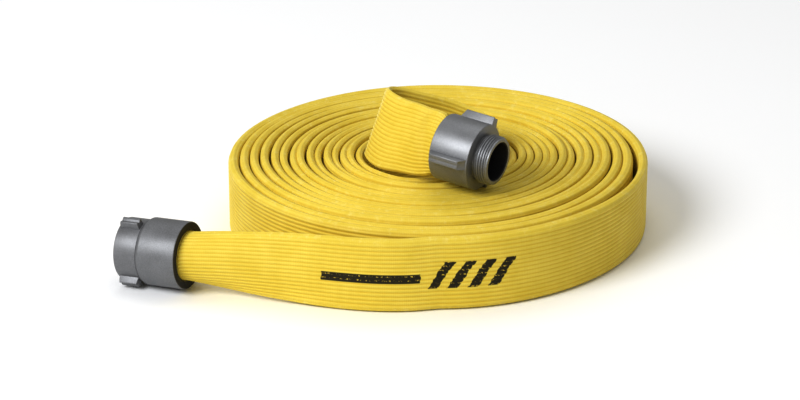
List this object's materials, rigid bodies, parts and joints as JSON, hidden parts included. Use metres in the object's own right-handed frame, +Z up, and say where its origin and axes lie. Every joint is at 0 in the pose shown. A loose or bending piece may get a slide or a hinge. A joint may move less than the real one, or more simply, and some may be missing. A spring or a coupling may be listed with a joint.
{
  "type": "rolled fire hose",
  "caption": "Ribbed lay-flat fire hose rolled on edge, with a lugged screw coupling on each end: a swivel female end lying beside the roll and a rigid male end resting on it.",
  "frame": {"origin": "centre of the bottom of the bounding box, on the surface that the roll and the outer end lie on", "axes": "+X along the longest extent, away from the swivel coupling; +Y to the back, away from the side where the outer end leaves the roll; +Z up, along the roll's axis"},
  "size_m": [0.5439, 0.4492, 0.1555],
  "materials": {
    "hose_jacket": "matt ribbed yellow rubber cover",
    "swivel_coupling_metal": "dull hard-anodised grey",
    "male_coupling_metal": "dull hard-anodised grey",
    "gasket_rubber": "moulded black rubber",
    "expansion_ring_brass": "drawn brass",
    "bearing_steel": "polished bearing steel",
    "plug_steel": "turned steel"
  },
  "bodies": {
    "hose": {"hose_roll": "hose_jacket", "hose_tail": "hose_jacket", "hose_lead": "hose_jacket", "male_hose_end": "hose_jacket", "female_hose_end": "hose_jacket", "female_bowl": "swivel_coupling_metal", "male_bowl": "male_coupling_metal", "female_tail_gasket": "gasket_rubber", "male_tail_gasket": "gasket_rubber", "female_expansion_ring": "expansion_ring_brass", "male_expansion_ring": "expansion_ring_brass"},
    "swivel": {"female_swivel": "swivel_coupling_metal", "ball_plug": "plug_steel", "swivel_gasket": "gasket_rubber"},
    "ball_ring": {"bearing_ball_01": "bearing_steel", "bearing_ball_02": "bearing_steel", "bearing_ball_03": "bearing_steel", "bearing_ball_04": "bearing_steel", "bearing_ball_05": "bearing_steel", "bearing_ball_06": "bearing_steel", "bearing_ball_07": "bearing_steel", "bearing_ball_08": "bearing_steel", "bearing_ball_09": "bearing_steel", "bearing_ball_10": "bearing_steel", "bearing_ball_11": "bearing_steel", "bearing_ball_12": "bearing_steel", "bearing_ball_13": "bearing_steel", "bearing_ball_14": "bearing_steel", "bearing_ball_15": "bearing_steel", "bearing_ball_16": "bearing_steel", "bearing_ball_17": "bearing_steel", "bearing_ball_18": "bearing_steel", "bearing_ball_19": "bearing_steel", "bearing_ball_20": "bearing_steel", "bearing_ball_21": "bearing_steel", "bearing_ball_22": "bearing_steel", "bearing_ball_23": "bearing_steel", "bearing_ball_24": "bearing_steel", "bearing_ball_25": "bearing_steel", "bearing_ball_26": "bearing_steel", "bearing_ball_27": "bearing_steel", "bearing_ball_28": "bearing_steel", "bearing_ball_29": "bearing_steel", "bearing_ball_30": "bearing_steel", "bearing_ball_31": "bearing_steel", "bearing_ball_32": "bearing_steel", "bearing_ball_33": "bearing_steel", "bearing_ball_34": "bearing_steel"}
  },
  "joints": [
    {"name": "swivel_spin", "type": "hinge", "parent": "hose", "child": "swivel", "pos_m": [-0.24153, -0.14768, 0.0339], "axis": [-0.9196, 0.3904, -0.0436], "continuous": true},
    {"name": "ball_orbit", "type": "hinge", "parent": "hose", "child": "ball_ring", "pos_m": [-0.24153, -0.14768, 0.0339], "axis": [-0.9196, 0.3904, -0.0436], "continuous": true}
  ],
  "couplings": [
    {"joint": "ball_orbit", "follows": "swivel_spin", "ratio": 0.5442}
  ]
}
